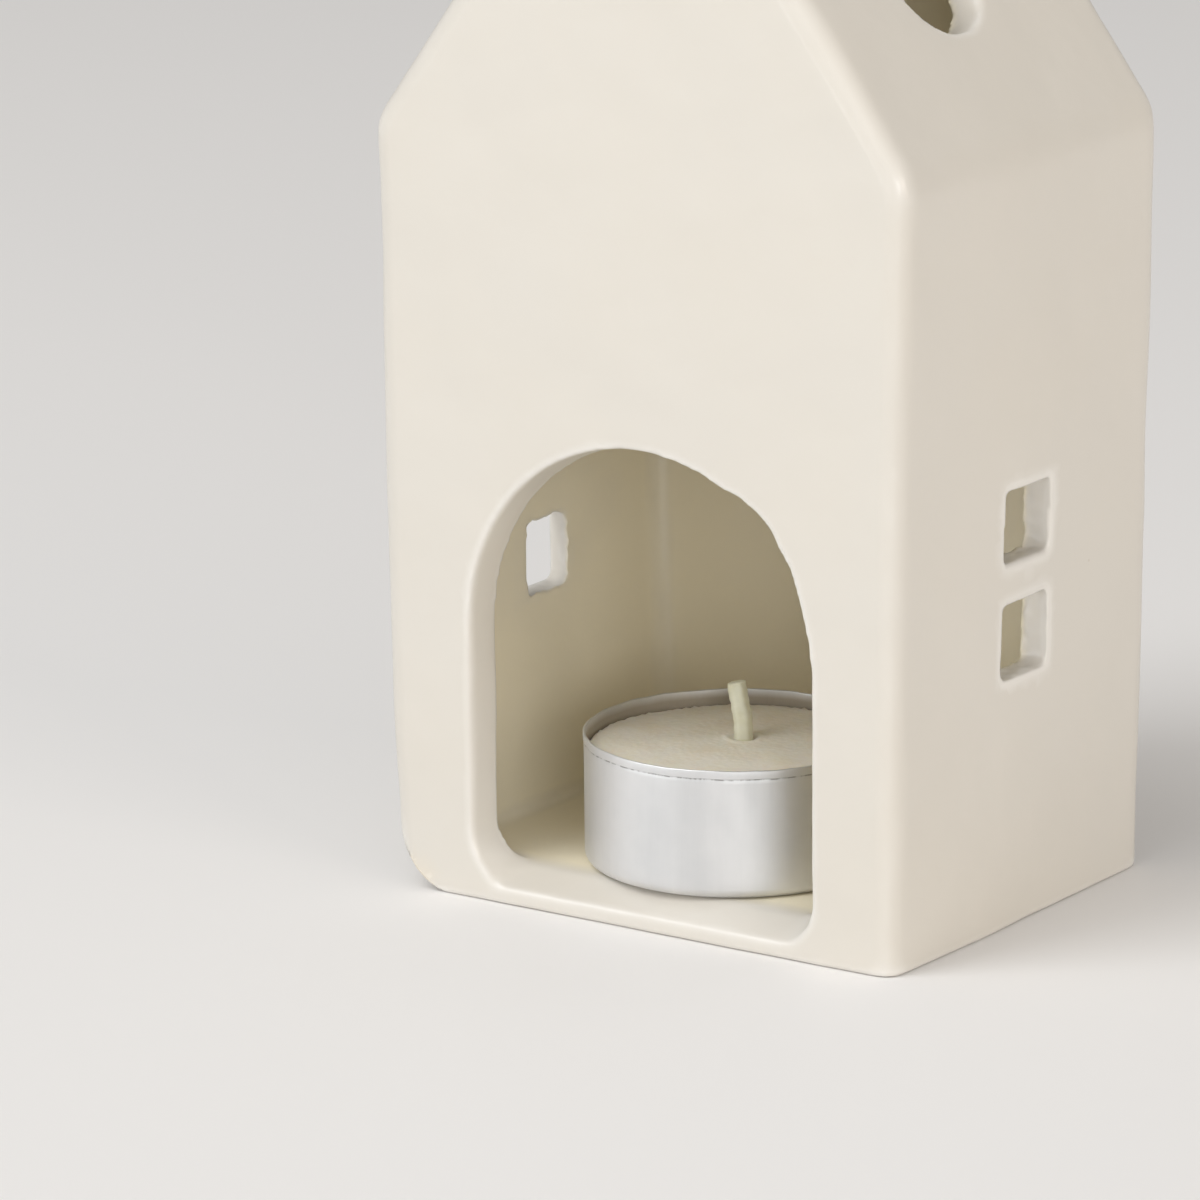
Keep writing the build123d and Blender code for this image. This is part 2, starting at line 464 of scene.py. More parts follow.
class Bench:
    """Modelling moves, made with Blender's own operators."""

    @staticmethod
    def clear() -> None:
        """Deselect everything and stand in object mode."""
        if bpy.context.object and bpy.context.object.mode != "OBJECT":
            bpy.ops.object.mode_set(mode="OBJECT")
        bpy.ops.object.select_all(action="DESELECT")

    @staticmethod
    def take(piece: bpy.types.Object) -> None:
        """Select one piece and make it active.

        Args:
            piece: The piece to work on.
        """
        Bench.clear()
        piece.select_set(True)
        bpy.context.view_layer.objects.active = piece

    @staticmethod
    def started(name: str, size: Optional[Point] = None) -> bpy.types.Object:
        """Name the primitive that was just added and settle its scale into its mesh.

        Args:
            name: The piece's name.
            size: Scale to apply first.

        Returns:
            The piece.
        """
        piece = bpy.context.object
        piece.name = name
        piece.data.name = name
        if size:
            piece.scale = size
        bpy.ops.object.transform_apply(location=True, rotation=True, scale=True)
        return piece

    @staticmethod
    def block(name: str, low: Point, high: Point) -> bpy.types.Object:
        """Add a box between two corners.

        Args:
            name: The box's name.
            low: Its lowest corner.
            high: Its highest corner.

        Returns:
            The box.
        """
        Bench.clear()
        middle = [(a + b) / 2 for a, b in zip(low, high)]
        bpy.ops.mesh.primitive_cube_add(size=1, location=middle)
        return Bench.started(name, tuple(b - a for a, b in zip(low, high)))

    @staticmethod
    @contextmanager
    def editing(piece: bpy.types.Object) -> Iterator[None]:
        """Work on a piece in edit mode.

        Args:
            piece: The piece to edit.
        """
        Bench.take(piece)
        bpy.ops.object.mode_set(mode="EDIT")
        yield
        bpy.ops.object.mode_set(mode="OBJECT")

    @staticmethod
    def pick(kind: str, test: Callable[[Any], bool]) -> None:
        """Select the parts of the edited mesh that pass a test, and nothing else.

        Args:
            kind: "VERT", "EDGE" or "FACE".
            test: Says whether a part is wanted.
        """
        bpy.ops.mesh.select_mode(type=kind)
        bpy.ops.mesh.select_all(action="DESELECT")
        mesh = bpy.context.edit_object.data
        edited = bmesh.from_edit_mesh(mesh)
        parts = {"VERT": edited.verts, "EDGE": edited.edges, "FACE": edited.faces}[kind]
        for part in parts:
            part.select = test(part)
        edited.select_flush_mode()
        bmesh.update_edit_mesh(mesh)

    @staticmethod
    def modify(piece: bpy.types.Object, kind: str, **settings: Any) -> None:
        """Add a modifier, set it up and apply it.

        Args:
            piece: The piece to change.
            kind: The modifier's type.
            **settings: Its properties.
        """
        Bench.take(piece)
        modifier = piece.modifiers.new(kind.lower(), kind)
        for name, setting in settings.items():
            setattr(modifier, name, setting)
        bpy.ops.object.modifier_apply(modifier=modifier.name)

    @staticmethod
    def cut(piece: bpy.types.Object, *tools: bpy.types.Object) -> None:
        """Take the cutting blocks out of a piece and discard them.

        Args:
            piece: The piece to cut.
            *tools: The cutting blocks.
        """
        for tool in tools:
            Bench.modify(piece, "BOOLEAN", operation="DIFFERENCE", object=tool, solver="EXACT")
            bpy.data.meshes.remove(tool.data)

    @staticmethod
    def turn(name: str, profile: Profile, centre: Point, steps: int) -> bpy.types.Object:
        """Turn a profile of (radius, height) points round an upright axis.

        Args:
            name: The piece's name.
            profile: The points, from the axis or from a rim.
            centre: Foot of the axis.
            steps: Facets round the axis.

        Returns:
            The turned piece, closed where the profile meets the axis.
        """
        Bench.clear()
        bpy.ops.mesh.primitive_plane_add(size=MM)
        piece = Bench.started(name)
        base = Vector(centre)
        with Bench.editing(piece):
            Bench.pick("VERT", lambda vertex: True)
            bpy.ops.mesh.merge(type="CENTER")
            spots = [base + Vector((radius, 0.0, height)) for radius, height in profile]
            bpy.ops.transform.translate(value=spots[0])
            for here, there in zip(spots, spots[1:]):
                move = {"value": there - here}
                bpy.ops.mesh.extrude_vertices_move(TRANSFORM_OT_translate=move)
            bpy.ops.mesh.select_all(action="SELECT")
            bpy.ops.mesh.spin(steps=steps, angle=math.tau, center=centre, axis=(0, 0, 1))
            bpy.ops.mesh.select_all(action="SELECT")
            bpy.ops.mesh.remove_doubles(threshold=0.002 * MM)
            bpy.ops.mesh.normals_make_consistent(inside=False)
        return piece

    @staticmethod
    def points(piece: bpy.types.Object) -> np.ndarray:
        """Read a piece's vertices.

        Args:
            piece: The piece to read.

        Returns:
            Their places in metres, one row each.
        """
        flat = np.empty(len(piece.data.vertices) * 3)
        piece.data.vertices.foreach_get("co", flat)
        return flat.reshape(-1, 3)

    @staticmethod
    def store(piece: bpy.types.Object, name: str, values: np.ndarray) -> None:
        """Keep one number for each point of a piece, under a name that its finish reads."""
        layer = piece.data.attributes.new(name, "FLOAT", "POINT")
        layer.data.foreach_set("value", values.astype(np.float32))

    @staticmethod
    def move_points(piece: bpy.types.Object, points: np.ndarray) -> None:
        """Write the piece's vertices back."""
        piece.data.vertices.foreach_set("co", points.ravel())
        piece.data.update()


@dataclass(frozen=True)
class HandMark:
    """A soft push of the potter's hand, strongest at its centre. Sizes in millimetres."""

    centre: Point
    reach: Point
    push: Point

    def press(self, points: np.ndarray) -> None:
        """Move the points in place.

        Args:
            points: Vertices in metres, one row each.
        """
        away = (points - np.array(self.centre) * MM) / (np.array(self.reach) * MM)
        near = np.clip(1.0 - (away**2).sum(axis=1), 0.0, 1.0) ** 2
        points += near[:, None] * np.array(self.push) * MM


@dataclass(frozen=True)
class WornCorner:
    """A corner at the table, rounded off by hand as seen from the front. Sizes in millimetres."""

    side: Side
    base_width: float
    radius: float
    front: float
    reach: float
    lead_in: float = 0.45

    @staticmethod
    def ease(share: np.ndarray) -> np.ndarray:
        """A share from 0 to 1 that starts and stops gently."""
        return share * share * (3.0 - 2.0 * share)

    def press(self, points: np.ndarray) -> None:
        """Move the points in place.

        Args:
            points: Vertices in metres, one row each.
        """
        centre = np.array((self.side.value * (self.base_width / 2 - self.radius), self.radius))
        away = points[:, [0, 2]] / MM - centre
        beyond = (away[:, 0] * self.side.value > 0) & (away[:, 1] < 0)
        far = np.hypot(away[:, 0], away[:, 1])
        fade = np.clip(1.0 - (points[:, 1] / MM - self.front) / self.reach, 0.0, 1.0)
        lead = np.clip(-away[:, 1] / (self.radius * self.lead_in), 0.0, 1.0)
        share = beyond * self.ease(fade) * self.ease(lead)
        shrink = 1.0 - share * (1.0 - self.radius / np.maximum(far, self.radius))
        points[:, [0, 2]] = (centre + away * shrink[:, None]) * MM


@dataclass
class House:
    """The glazed house: carved from one block, smoothed and glazed as one skin. Sizes in millimetres."""

    base_width: float = 75.0
    eave_width: float = 78.8
    eave_height: float = 98.0
    depth: float = 59.0
    roof_pitch: float = 53.5
    wall: float = 4.3
    front_wall: float = 5.6
    floor: float = 4.3
    corner_round: float = 2.8
    base_round: float = 0.9
    inner_round: float = 2.6
    floor_round: float = 1.2
    worn_round: float = 10.5
    worn_reach: float = 36.0
    foot: float = 9.0
    foot_height: float = 0.1
    foot_ramp: float = 4.0
    door_width: float = 49.1
    door_top: float = 60.2
    door_corner: float = 4.4
    door_flare: float = 0.6
    sill_drop: float = 1.8
    pane_width: float = 10.0
    pane_height: float = 9.2
    pane_sill: float = 32.3
    pane_bar: float = 5.3
    left_pane_lift: float = 2.6
    left_pane_splay: float = 1.8
    left_pane_narrow: float = 2.2
    pane_y: float = -0.6
    pane_fray: float = 0.5
    fray_inside: float = 1.25
    fray_coarse: float = 0.55
    fray_fine: float = 1.4
    fray_fine_share: float = 0.6
    pane_softness: float = 0.15
    pane_thinned_and_highlit: float = 0.3
    pane_lip: float = 0.3
    pane_margin: float = 1.8
    pane_slack: float = 2.0
    vent_radius: float = 8.0
    vent_bore: float = 6.4
    vent_up: float = 24.3
    vent_y: float = -1.6
    inside_skin: float = 1.2
    inside_blur: float = 0.8
    grain: float = 0.5
    smoothing: int = 10
    edge_passes: int = 6
    hand_lumps: Point = (22.0, 0.7, 0.68)
    sponge_lumps: Point = (6.0, 0.14, 0.5)
    most_triangles: int = 190_000
    settling: tuple[tuple[float, ...], ...] = ((0.0, 0.6, 4.0, 200.0), (0.0, 0.12, 4.0, 200.0))

    @property
    def lean(self) -> float:
        """How far the side walls lean out for each millimetre of height."""
        return (self.eave_width - self.base_width) / 2 / self.eave_height

    @property
    def pitch(self) -> float:
        """The roof's pitch, in radians."""
        return math.radians(self.roof_pitch)

    @property
    def inner_x(self) -> float:
        """Half of the chamber's width at the table's level."""
        return self.base_width / 2 - self.wall

    def ridge(self, inset: float) -> float:
        """Height of the ridge of a roof that lies inside the house's own by an inset."""
        ridge = self.eave_height + self.eave_width / 2 * math.tan(self.pitch)
        return ridge - inset / math.cos(self.pitch)

    def gable_block(
        self, name: str, inset: float, bottom: float, rounding: float, base_rounding: float
    ) -> bpy.types.Object:
        """A house-shaped block with rounded edges.

        Args:
            name: The block's name.
            inset: How far its walls, gables and roof lie inside the house's own.
            bottom: Height of its underside.
            rounding: Radius of its corners, eaves, ridge and roof edges.
            base_rounding: Radius of the edges of its underside.

        Returns:
            The block.
        """
        slope = math.tan(self.pitch)
        wall_x = self.base_width / 2 - inset
        ridge = self.ridge(inset)
        eave = (ridge - slope * wall_x) / (1 + slope * self.lean)
        foot_x, eave_x = wall_x + self.lean * bottom, wall_x + self.lean * eave
        half = self.depth / 2 - inset
        block = Bench.block(name, metres(-foot_x, -half, bottom), metres(foot_x, half, eave))
        middle = (bottom + eave) / 2 * MM
        with Bench.editing(block):
            Bench.pick("VERT", lambda v: v.co.z > middle)
            bpy.ops.transform.resize(value=(eave_x / foot_x, 1, 1), center_override=(0, 0, eave * MM))
            bpy.ops.mesh.select_all(action="SELECT")
            bpy.ops.mesh.bisect(plane_co=(0, 0, 0), plane_no=(1, 0, 0))
            Bench.pick("VERT", lambda v: v.co.z > middle and abs(v.co.x) < HAIR * MM)
            bpy.ops.transform.translate(value=(0, 0, (ridge - eave) * MM))
            sharp = math.radians(20)
            floor = (bottom + HAIR) * MM
            Bench.pick("EDGE", lambda e: e.calc_face_angle(0.0) > sharp
                       and any(v.co.z > floor for v in e.verts))
            bpy.ops.mesh.bevel(offset=rounding * MM, segments=5, profile=0.5)
            Bench.pick("EDGE", lambda e: e.calc_face_angle(0.0) > sharp
                       and all(v.co.z < floor for v in e.verts))
            bpy.ops.mesh.bevel(offset=base_rounding * MM, segments=4, profile=0.5)
        return block

    def door_blocks(self) -> list[bpy.types.Object]:
        """Blocks that cut the doorway: jambs and arch, each flared towards the front.

        Returns:
            The cutting blocks.
        """
        half = self.door_width / 2
        spring = self.door_top - half
        front = -self.depth / 2
        flare_y = front + self.front_wall
        behind = front + self.front_wall + self.wall + self.inner_round
        low = (self.floor + 0.5) * MM
        jambs = Bench.block("door_jambs", metres(-half, flare_y, self.floor), metres(half, behind, spring))
        ahead = 1.0
        reach = self.front_wall + ahead
        grow = (half + self.door_flare * reach / self.front_wall) / half
        drop = self.sill_drop * reach / self.front_wall
        with Bench.editing(jambs):
            Bench.pick("EDGE", lambda e: all(v.co.z < low for v in e.verts)
                       and abs(e.verts[0].co.x - e.verts[1].co.x) < HAIR * MM)
            bpy.ops.mesh.bevel(offset=self.door_corner * MM, segments=8, profile=0.5)
            Bench.pick("FACE", lambda f: f.normal.y < -0.9)
            move = {"value": (0, -reach * MM, 0)}
            bpy.ops.mesh.extrude_region_move(TRANSFORM_OT_translate=move)
            tall = (spring - self.floor + drop) / (spring - self.floor)
            bpy.ops.transform.resize(value=(grow, 1, tall), center_override=(0, 0, spring * MM))
        Bench.clear()
        bpy.ops.mesh.primitive_cylinder_add(
            vertices=96, radius=half * MM, depth=(behind - flare_y) * MM,
            location=metres(0, (flare_y + behind) / 2, spring), rotation=(math.pi / 2, 0, 0),
        )
        arch = Bench.started("door_arch")
        with Bench.editing(arch):
            Bench.pick("FACE", lambda f: f.normal.y < -0.9)
            bpy.ops.mesh.extrude_region_move(TRANSFORM_OT_translate=move)
            bpy.ops.transform.resize(value=(grow, 1, grow), center_override=(0, 0, spring * MM))
        return [jambs, arch]

    def pane_blocks(self, side: Side) -> list[bpy.types.Object]:
        """Blocks that cut one side's two panes.

        Args:
            side: The side wall to cut.

        Returns:
            The cutting blocks.
        """
        blocks = []
        for row in range(2):
            low = self.pane_low(side, row)
            inner = self.inner_x
            ends = sorted((side.value * (inner - self.wall), side.value * (inner + 2 * self.wall)))
            start, stop = self.pane_y - self.pane_width / 2, self.pane_y + self.pane_width / 2
            if side is Side.LEFT:
                start += self.left_pane_narrow
            block = Bench.block(
                f"pane_{side.name.lower()}_{row}",
                metres(ends[0], start, low),
                metres(ends[1], stop, low + self.pane_height),
            )
            if side is Side.LEFT:
                with Bench.editing(block):
                    Bench.pick("VERT", lambda v: v.co.y > self.pane_y * MM and v.co.x < -inner * MM)
                    bpy.ops.transform.translate(value=(0, 2 * self.left_pane_splay * MM, 0))
                    Bench.pick("VERT", lambda v: v.co.y > self.pane_y * MM and v.co.x > -inner * MM)
                    bpy.ops.transform.translate(value=(0, -self.left_pane_splay * MM, 0))
            blocks.append(block)
        return blocks

    def vent_block(self, side: Side) -> bpy.types.Object:
        """Round block that cuts one side's roof vent, square to the slope.

        Args:
            side: The roof slope to cut.

        Returns:
            The cutting block.
        """
        pitch = self.pitch
        x = self.eave_width / 2 - self.vent_up * math.cos(pitch)
        z = self.eave_height + self.vent_up * math.sin(pitch)
        Bench.clear()
        bpy.ops.mesh.primitive_cone_add(
            vertices=64, depth=2 * self.wall * MM,
            radius1=self.vent_bore * MM, radius2=(2 * self.vent_radius - self.vent_bore) * MM,
            location=metres(side.value * x, self.vent_y, z), rotation=(0, side.value * pitch, 0),
        )
        vent = Bench.started(f"vent_{side.name.lower()}")
        with Bench.editing(vent):
            inward = Vector((-side.value * math.sin(pitch), 0.0, -math.cos(pitch)))
            Bench.pick("FACE", lambda face: face.normal.dot(inward) > 0.9)
            bpy.ops.mesh.extrude_region_move(TRANSFORM_OT_translate={"value": inward * self.wall * MM})
        return vent

    def relief_blocks(self) -> list[bpy.types.Object]:
        """Blocks that raise the underside between the four feet.

        Returns:
            The cutting blocks.
        """
        wide, deep = self.eave_width, self.depth
        short_x, short_y = self.base_width / 2 - self.foot, self.depth / 2 - self.foot
        below, high = -1.0, self.foot_height
        across = Bench.block("relief_across", metres(-wide, -short_y, below), metres(wide, short_y, high))
        along = Bench.block("relief_along", metres(-short_x, -deep, below), metres(short_x, deep, high))
        shrink_x, shrink_y = 1.0 - self.foot_ramp / short_x, 1.0 - self.foot_ramp / short_y
        for block, shrink in ((across, (1.0, shrink_y, 1.0)), (along, (shrink_x, 1.0, 1.0))):
            with Bench.editing(block):
                Bench.pick("VERT", lambda vertex: vertex.co.z > 0)
                bpy.ops.transform.resize(value=shrink, center_override=(0, 0, high * MM))
        return [across, along]

    def hand_marks(self) -> list[HandMark]:
        """Where the clay was pushed by hand.

        Returns:
            The marks, in the order they are pressed.
        """
        front = -self.depth / 2 + self.front_wall / 2
        wall = self.front_wall * 1.6
        return [
            HandMark((19.0, front, 53.0), (15.0, wall, 13.0), (1.1, 0.0, 1.1)),
            HandMark((12.4, front, 58.6), (3.4, wall, 3.4), (-0.2, 0.0, -0.3)),
            HandMark((20.6, front, 51.6), (3.0, wall, 3.0), (-0.25, 0.0, -0.2)),
            HandMark((-24.5, front, 4.5), (5.0, wall, 5.0), (0.5, 0.0, 0.4)),
            HandMark((0.0, 0.0, 150.0), (9.0, 90.0, 9.0), (0.0, 0.0, -0.7)),
            HandMark((38.5, -self.depth / 2, 58.0), (10.0, 30.0, 105.0), (-0.75, 0.0, 0.0)),
            HandMark((-38.0, -self.depth / 2, 42.0), (10.0, 70.0, 48.0), (-0.6, 0.0, 0.0)),
        ]

    def pane_low(self, side: Side, row: int) -> float:
        """Height of a pane's lower edge, in millimetres."""
        lift = self.left_pane_lift if side is Side.LEFT and row else 0.0
        return self.pane_sill + row * (self.pane_height + self.pane_bar) + lift

    def near_panes(self, points: np.ndarray) -> np.ndarray:
        """How near each point lies to a pane's edge, from 1 at the edge down to 0.

        Args:
            points: Vertices in metres, one row each.

        Returns:
            One number for each point.
        """
        spots = points / MM
        nearest = np.zeros(len(spots))
        for side in Side:
            for row in range(2):
                away_y = np.abs(spots[:, 1] - self.pane_y) - self.pane_width / 2
                middle = self.pane_low(side, row) + self.pane_height / 2
                away_z = np.abs(spots[:, 2] - middle) - self.pane_height / 2
                away = np.abs(np.maximum(away_y, away_z) - self.pane_lip)
                near = np.clip(1.0 - away / self.pane_margin, 0.0, 1.0)
                near[spots[:, 0] * side.value < self.inner_x - self.pane_slack] = 0.0
                nearest = np.maximum(nearest, near)
        return nearest

    def fray_panes(self, points: np.ndarray) -> None:
        """Make the knife-cut edges of the panes ragged, most of all on the inside.

        Args:
            points: Vertices in metres, one row each, moved in place.
        """
        outward = (np.abs(points[:, 0]) / MM - self.inner_x) / self.wall
        near = self.near_panes(points) * np.clip(self.fray_inside - outward, 0.0, 1.0)
        for index in np.flatnonzero(near):
            spot = Vector(points[index]) / MM
            push = noise.noise_vector(spot * self.fray_coarse)
            push += noise.noise_vector(spot * self.fray_fine) * self.fray_fine_share
            points[index] += np.array((0.0, push.y, push.z)) * self.pane_fray * near[index] * MM

    def mark_edges(self, house: bpy.types.Object) -> None:
        """Store how tightly the skin turns, per millimetre: above 0 over an edge, below 0 in a corner.

        Args:
            house: The finished mesh.
        """
        mesh = house.data
        pairs = np.empty(len(mesh.edges) * 2, dtype=np.int64)
        mesh.edges.foreach_get("vertices", pairs)
        pairs = pairs.reshape(-1, 2)
        points = Bench.points(house)
        normals = np.empty(len(points) * 3)
        mesh.vertices.foreach_get("normal", normals)
        normals = normals.reshape(-1, 3)
        step = points[pairs[:, 1]] - points[pairs[:, 0]]
        step *= 2.0 * MM / (np.linalg.norm(step, axis=1)[:, None] ** 2 + 1e-12)
        counts = np.bincount(pairs.ravel(), minlength=len(points)).clip(1)
        edge = np.zeros(len(points))
        np.add.at(edge, pairs[:, 0], -(normals[pairs[:, 0]] * step).sum(axis=1))
        np.add.at(edge, pairs[:, 1], (normals[pairs[:, 1]] * step).sum(axis=1))
        edge /= counts
        for _ in range(self.edge_passes):
            spread = np.zeros(len(points))
            np.add.at(spread, pairs[:, 0], edge[pairs[:, 1]])
            np.add.at(spread, pairs[:, 1], edge[pairs[:, 0]])
            edge = 0.5 * edge + 0.5 * spread / counts
        near = self.near_panes(points)
        # Round the panes the edges are made paler: partly thinner glaze on the cut edges, partly painted
        # light on the jambs.
        cut = edge.clip(0.0) + self.pane_thinned_and_highlit * near
        Bench.store(house, "edge", np.where(near > 0.0, cut, edge))

    def mark_inside(self, house: bpy.types.Object) -> None:
        """Store which points belong to the chamber's own skin, where the glaze paints light: a lighter,
        yellower colour.

        Args:
            house: The finished mesh.
        """
        ease = 0.25
        doorstep = self.depth / 2 - self.front_wall - self.inside_skin / ease
        planes = [
            ((0.0, 0.0, -1.0), (0.0, 0.0, self.floor)),
            ((0.0, 1.0, 0.0), (0.0, self.depth / 2 - self.wall, 0.0)),
            ((0.0, -ease, 0.0), (0.0, -doorstep, 0.0)),
        ]
        for side in Side:
            sign = side.value
            planes.append(((sign, 0.0, -self.lean), (sign * self.inner_x, 0.0, 0.0)))
            upward = (sign * math.sin(self.pitch), 0.0, math.cos(self.pitch))
            planes.append((upward, (0.0, 0.0, self.ridge(self.wall))))
        points = Bench.points(house) / MM
        depths = [(np.array(start) - points) @ np.array(normal) for normal, start in planes]
        depth = np.min(depths, axis=0)
        Bench.store(house, "inside", np.clip((depth + self.inside_skin) / self.inside_blur, 0.0, 1.0))

    @staticmethod
    def wobble(
        house: bpy.types.Object, name: str, lump: float, height: float, level: float
    ) -> None:
        """Raise and lower the surface in soft lumps.

        Args:
            house: The mesh to change.
            name: The texture's name.
            lump: Size of a lump, in millimetres.
            height: Height between hollows and lumps, in millimetres.
            level: Share of that height that stays below the unmarked surface.
        """
        lumps = bpy.data.textures.new(name, "CLOUDS")
        lumps.noise_basis = "IMPROVED_PERLIN"
        lumps.noise_scale = lump * MM
        lumps.noise_depth = 1
        Bench.modify(house, "DISPLACE", texture=lumps, strength=height * MM, mid_level=level,
                     texture_coords="LOCAL")
        bpy.data.textures.remove(lumps)

    def carve(self) -> bpy.types.Object:
        """Cut the chamber, the doorway, the panes, the vents and the underside out of a block.

        Returns:
            The house, with sharp openings.
        """
        house = self.gable_block("glazed_house", 0.0, 0.0, self.corner_round, self.base_round)
        chamber = self.gable_block("chamber", self.wall, self.floor, self.inner_round, self.floor_round)
        with Bench.editing(chamber):
            Bench.pick("VERT", lambda v: v.co.y < 0)
            bpy.ops.transform.translate(value=(0, (self.front_wall - self.wall) * MM, 0))
        Bench.cut(house, chamber)
        Bench.cut(house, *self.door_blocks())
        for side in Side:
            Bench.cut(house, *self.pane_blocks(side), self.vent_block(side))
        Bench.cut(house, *self.relief_blocks())
        return house

    def soften(self, house: bpy.types.Object) -> None:
        """Make the carved house one even skin with soft edges, crisper round the panes.

        Args:
            house: The carved house.
        """
        Bench.modify(house, "REMESH", mode="VOXEL", voxel_size=self.grain * MM)
        soft = house.vertex_groups.new(name="soft")
        crisp = self.near_panes(Bench.points(house)) > 0.0
        soft.add(np.flatnonzero(~crisp).tolist(), 1.0, "REPLACE")
        soft.add(np.flatnonzero(crisp).tolist(), self.pane_softness, "REPLACE")
        Bench.modify(house, "SMOOTH", factor=0.5, iterations=self.smoothing, vertex_group=soft.name)
        house.vertex_groups.clear()

    def shape_by_hand(self, house: bpy.types.Object) -> None:
        """Press the marks of the hand into the skin, fray the panes and raise soft lumps.

        Args:
            house: The softened house.
        """
        points = Bench.points(house)
        worn = WornCorner(Side.LEFT, self.base_width, self.worn_round, -self.depth / 2, self.worn_reach)
        for mark in (*self.hand_marks(), worn):
            mark.press(points)
        self.fray_panes(points)
        Bench.move_points(house, points)
        self.wobble(house, "hand_lumps", *self.hand_lumps)
        self.wobble(house, "sponge_lumps", *self.sponge_lumps)

    def settle(self, house: bpy.types.Object) -> None:
        """Keep the house inside its own box and flatten its feet on the table.

        Args:
            house: The house with its marks.
        """
        points = Bench.points(house)
        for axis, (low, high) in enumerate(zip(*CAD_BOX)):
            least, most = points[:, axis].min(), points[:, axis].max()
            ends = (max(least, low), min(most, high))
            points[:, axis] = np.interp(points[:, axis], (least, most), ends)
        points[:, 2] = np.interp(points[:, 2] / MM, *self.settling) * MM
        Bench.move_points(house, points)

    def thin_out(self, house: bpy.types.Object) -> None:
        """Bring the mesh down to its most triangles, and keep the shading of the fine one.

        Args:
            house: The settled house.
        """
        Bench.take(house)
        bpy.ops.object.shade_smooth()
        bpy.ops.object.duplicate()
        fine = bpy.context.object
        triangles = sum(len(face.vertices) - 2 for face in house.data.polygons)
        Bench.modify(house, "DECIMATE", ratio=min(1.0, self.most_triangles / triangles))
        Bench.modify(house, "DATA_TRANSFER", object=fine, use_loop_data=True,
                     data_types_loops={"CUSTOM_NORMAL"}, loop_mapping="POLYINTERP_NEAREST")
        bpy.data.meshes.remove(fine.data)

    def build(self) -> bpy.types.Object:
        """Model the house.

        Returns:
            The house, ready for its glaze.
        """
        house = self.carve()
        self.soften(house)
        self.shape_by_hand(house)
        self.settle(house)
        self.thin_out(house)
        self.mark_edges(house)
        self.mark_inside(house)
        return house

    def dress(self, house: bpy.types.Object) -> None:
        """Glaze the house and set it on its body.

        Args:
            house: The finished mesh.
        """
        house.data.materials.clear()
        house.data.materials.append(GlazeFinish().material())
        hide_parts(*frame["record"]["behaviour"]["bodies"][Body.HOUSE.value])
        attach(house, Body.HOUSE.value)


